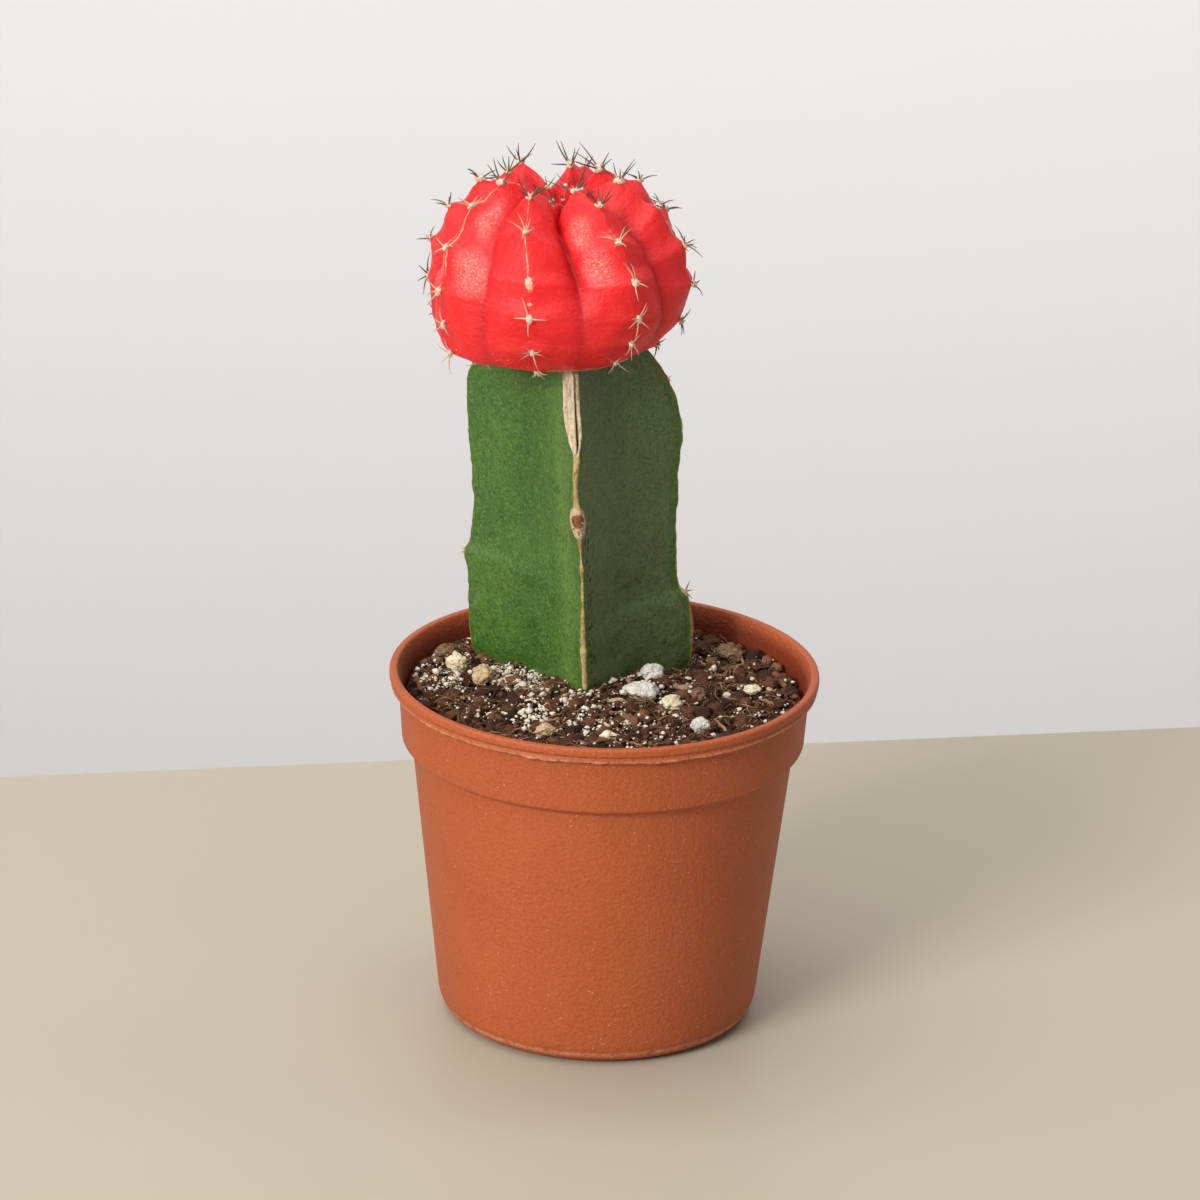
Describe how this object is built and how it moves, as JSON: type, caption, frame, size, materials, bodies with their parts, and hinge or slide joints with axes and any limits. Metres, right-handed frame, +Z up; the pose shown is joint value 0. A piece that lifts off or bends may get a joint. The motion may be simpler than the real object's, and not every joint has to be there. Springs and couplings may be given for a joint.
{
  "type": "potted moon cactus",
  "caption": "Red globe cactus grafted on a three-ribbed green stem, growing in gritty peat in a small tapered terracotta-coloured plastic pot with a collar and drain holes.",
  "frame": {"origin": "on the pot's axis, in the plane the base rests on", "axes": "+Z up along the pot's axis; the plant's front rib faces -Y and +X is to the viewer's right"},
  "size_m": [0.065, 0.065, 0.1313],
  "materials": {
    "terracotta_plastic": "fine sand-textured moulded plastic, terracotta coloured",
    "peat_mix": "crumbly dark peat with fine pale grit",
    "green_stem": "waxy green plant skin with corky tan rib edges",
    "red_globe": "satin red plant skin, finely wrinkled, with pale wool and bristles",
    "perlite": "chalky pale mineral",
    "bark_chip": "rough weathered bark"
  },
  "bodies": {
    "root": {"pot": "terracotta_plastic", "soil": "peat_mix", "stock": "green_stem", "scion": "red_globe", "pebble_01": "perlite", "pebble_02": "perlite", "pebble_03": "perlite", "pebble_04": "perlite", "pebble_05": "perlite", "pebble_06": "perlite", "pebble_07": "perlite", "pebble_08": "perlite", "pebble_09": "perlite", "pebble_10": "bark_chip", "pebble_11": "perlite", "bark_01": "bark_chip", "bark_02": "bark_chip"}
  },
  "joints": []
}
